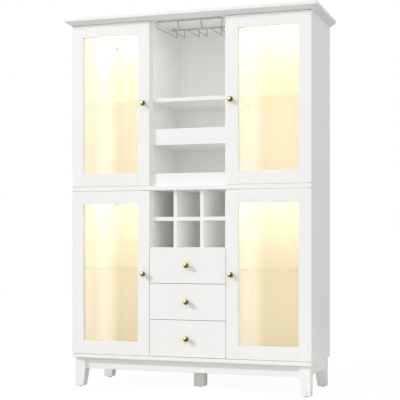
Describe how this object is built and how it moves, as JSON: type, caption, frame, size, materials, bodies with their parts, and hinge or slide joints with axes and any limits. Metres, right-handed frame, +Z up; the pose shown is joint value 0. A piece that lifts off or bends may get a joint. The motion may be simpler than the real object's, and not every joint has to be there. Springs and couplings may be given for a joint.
{
  "type": "wine cabinet",
  "caption": "Tall white bar cabinet with lit glazed doors, wine cubbies, hanging stemware rack, open shelves and drawers, on tapered legs.",
  "frame": {"origin": "on the floor under the middle of the cabinet's box", "axes": "+X to the right seen from the front, +Y to the back, +Z up"},
  "size_m": [1.254, 0.457, 1.8],
  "materials": {
    "white_lacquer": "satin white lacquer on board",
    "beech": "plain beech dowel",
    "dark_plastic": "dark moulded glide",
    "shelf_glass": "clear tempered glass",
    "door_glass": "clear tempered glass",
    "zinc_steel": "bright zinc",
    "nylon": "grey nylon",
    "chrome_wire": "chromed wire",
    "anodised": "anodised channel",
    "diffuser": "opal diffuser, lit",
    "white_plastic": "white moulded plastic",
    "driver_plastic": "moulded case",
    "brass": "satin brass"
  },
  "bodies": {
    "cabinet": {"top_cap": "white_lacquer", "carcass_top": "white_lacquer", "crown_moulding": "white_lacquer", "upper_side_panels": "white_lacquer", "lower_side_panels": "white_lacquer", "column_dividers": "white_lacquer", "mid_board": "white_lacquer", "bottom_board": "white_lacquer", "upper_back_panel": "white_lacquer", "lower_back_panel": "white_lacquer", "column_shelves": "white_lacquer", "guard_rails": "white_lacquer", "wine_rack_shelves": "white_lacquer", "wine_rack_uprights": "white_lacquer", "base_aprons": "white_lacquer", "corner_legs": "white_lacquer", "centre_leg": "white_lacquer", "panel_dowels": "beech", "foot_glides": "dark_plastic", "glass_shelves": "shelf_glass", "shelf_pins": "zinc_steel", "drawer_runners": "zinc_steel", "rack_screws": "zinc_steel", "pivot_bushes": "nylon", "stemware_rack": "chrome_wire", "light_bars": "anodised", "light_diffusers": "diffuser", "cable_grommets": "white_plastic", "light_leads": "white_plastic", "lead_clips": "white_plastic", "door_catches": "white_plastic", "light_driver": "driver_plastic"},
    "upper_left_door": {"upper_left_door_frame": "white_lacquer", "upper_left_door_glass": "door_glass", "upper_left_door_knob": "brass", "upper_left_door_fittings": "zinc_steel"},
    "upper_right_door": {"upper_right_door_frame": "white_lacquer", "upper_right_door_glass": "door_glass", "upper_right_door_knob": "brass", "upper_right_door_fittings": "zinc_steel"},
    "lower_left_door": {"lower_left_door_frame": "white_lacquer", "lower_left_door_glass": "door_glass", "lower_left_door_knob": "brass", "lower_left_door_fittings": "zinc_steel"},
    "lower_right_door": {"lower_right_door_frame": "white_lacquer", "lower_right_door_glass": "door_glass", "lower_right_door_knob": "brass", "lower_right_door_fittings": "zinc_steel"},
    "upper_drawer": {"upper_drawer_front": "white_lacquer", "upper_drawer_box": "white_lacquer", "upper_drawer_knob": "brass", "upper_drawer_fittings": "zinc_steel"},
    "middle_drawer": {"middle_drawer_front": "white_lacquer", "middle_drawer_box": "white_lacquer", "middle_drawer_knob": "brass", "middle_drawer_fittings": "zinc_steel"},
    "lower_drawer": {"lower_drawer_front": "white_lacquer", "lower_drawer_box": "white_lacquer", "lower_drawer_knob": "brass", "lower_drawer_fittings": "zinc_steel"}
  },
  "joints": [
    {"name": "upper_left_door_hinge", "type": "hinge", "parent": "cabinet", "child": "upper_left_door", "pos_m": [-0.588, -0.1895, 1.37225], "axis": [0, 0, -1], "range_deg": [0, 100]},
    {"name": "upper_right_door_hinge", "type": "hinge", "parent": "cabinet", "child": "upper_right_door", "pos_m": [0.588, -0.1895, 1.37225], "axis": [0, 0, 1], "range_deg": [0, 100]},
    {"name": "lower_left_door_hinge", "type": "hinge", "parent": "cabinet", "child": "lower_left_door", "pos_m": [-0.588, -0.1895, 0.55975], "axis": [0, 0, -1], "range_deg": [0, 100]},
    {"name": "lower_right_door_hinge", "type": "hinge", "parent": "cabinet", "child": "lower_right_door", "pos_m": [0.588, -0.1895, 0.55975], "axis": [0, 0, 1], "range_deg": [0, 100]},
    {"name": "upper_drawer_slide", "type": "slide", "parent": "cabinet", "child": "upper_drawer", "axis": [0, -1, 0], "range_m": [0, 0.26]},
    {"name": "middle_drawer_slide", "type": "slide", "parent": "cabinet", "child": "middle_drawer", "axis": [0, -1, 0], "range_m": [0, 0.26]},
    {"name": "lower_drawer_slide", "type": "slide", "parent": "cabinet", "child": "lower_drawer", "axis": [0, -1, 0], "range_m": [0, 0.26]}
  ]
}
